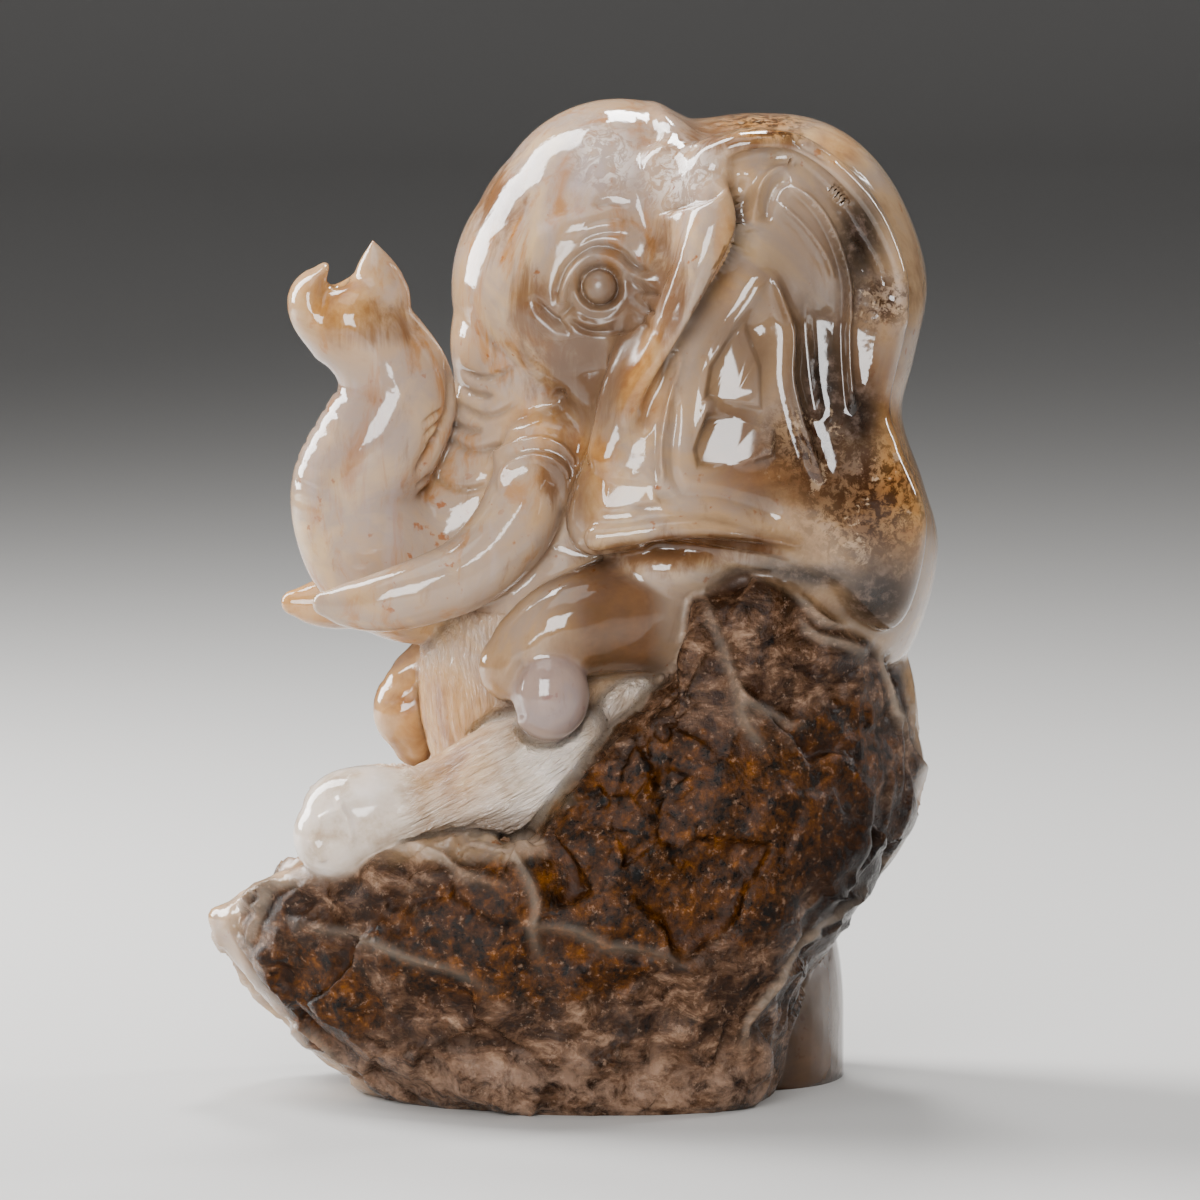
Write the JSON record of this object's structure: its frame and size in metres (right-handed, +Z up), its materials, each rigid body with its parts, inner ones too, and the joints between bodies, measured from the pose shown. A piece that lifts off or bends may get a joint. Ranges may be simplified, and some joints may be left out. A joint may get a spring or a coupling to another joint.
{
  "type": "chalcedony elephant carving",
  "caption": "Polished chalcedony carving of a seated elephant with raised trunk and tusks, reclining in a rough rock seat on a flat sawn underside.",
  "frame": {"origin": "on the floor under the middle of the carving, on its flat underside and on the animal's middle plane", "axes": "+Z up; the animal faces -X and its left side is -Y"},
  "size_m": [0.1103, 0.0724, 0.1501],
  "materials": {
    "chalcedony": "polished"
  },
  "bodies": {
    "root": {"elephant_carving": "chalcedony"}
  },
  "joints": []
}
